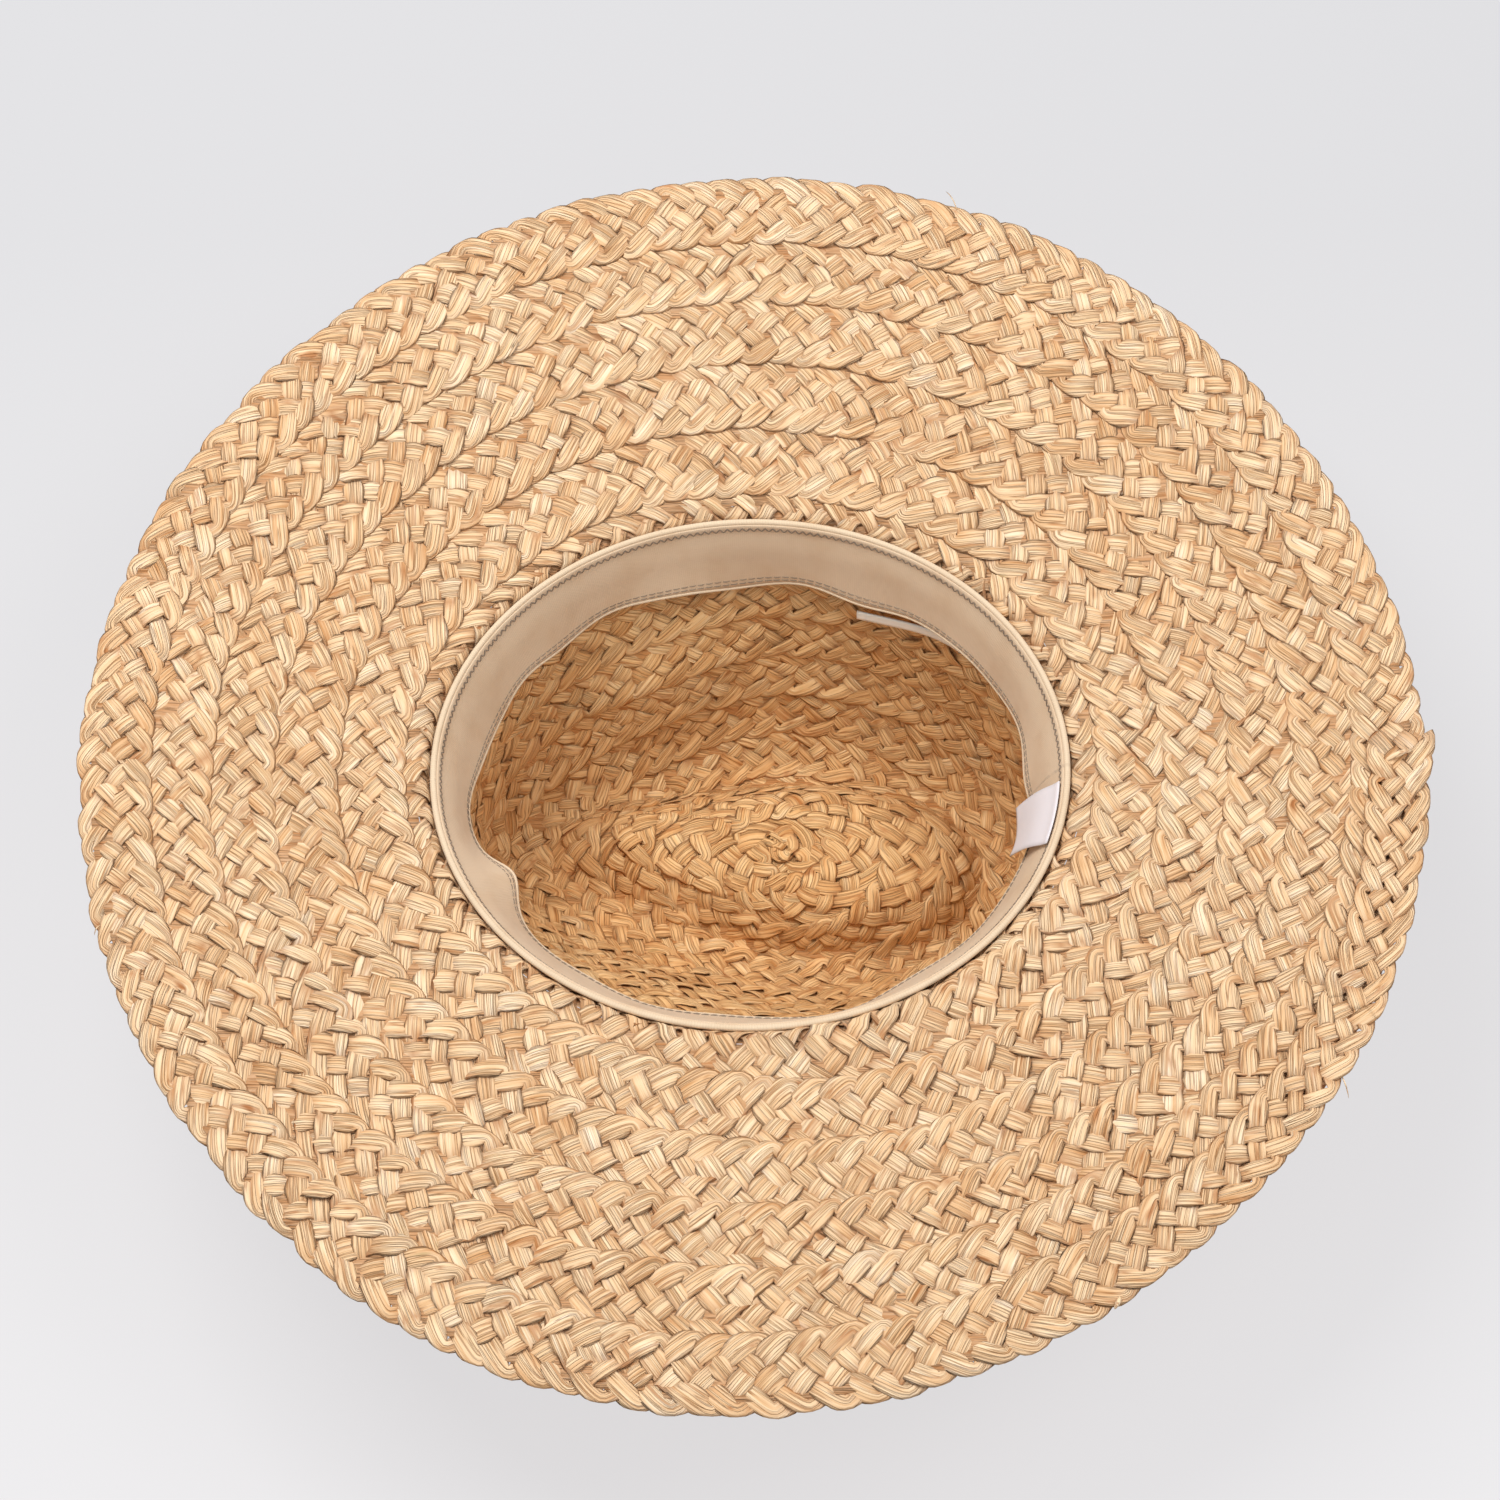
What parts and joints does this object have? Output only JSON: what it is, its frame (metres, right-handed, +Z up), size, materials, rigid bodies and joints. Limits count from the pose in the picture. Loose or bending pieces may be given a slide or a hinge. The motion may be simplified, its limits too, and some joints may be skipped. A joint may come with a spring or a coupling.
{
  "type": "straw beach hat",
  "caption": "Wide-brimmed plaited straw sun hat with a teardrop crown, a ribbon sweatband and a blank care label, lying on its crown.",
  "frame": {"origin": "bottom centre of the box, on the surface that the crown's ridge rests on", "axes": "+Z up out of the head opening, which faces up because the hat lies on its crown; +X to the back of the hat, -X to its front"},
  "size_m": [0.4275, 0.4223, 0.1206],
  "materials": {
    "straw": "plaited natural raffia straw, matt with a slight sheen along the fibres",
    "ribbon": "finely ribbed cream ribbon",
    "label": "smooth white woven label, blank",
    "tape": "narrow flat off-white tape"
  },
  "bodies": {
    "root": {"crown": "straw", "brim": "straw", "braid_end": "straw", "sweatband": "ribbon", "care_label": "label", "size_tape": "tape"}
  },
  "joints": []
}
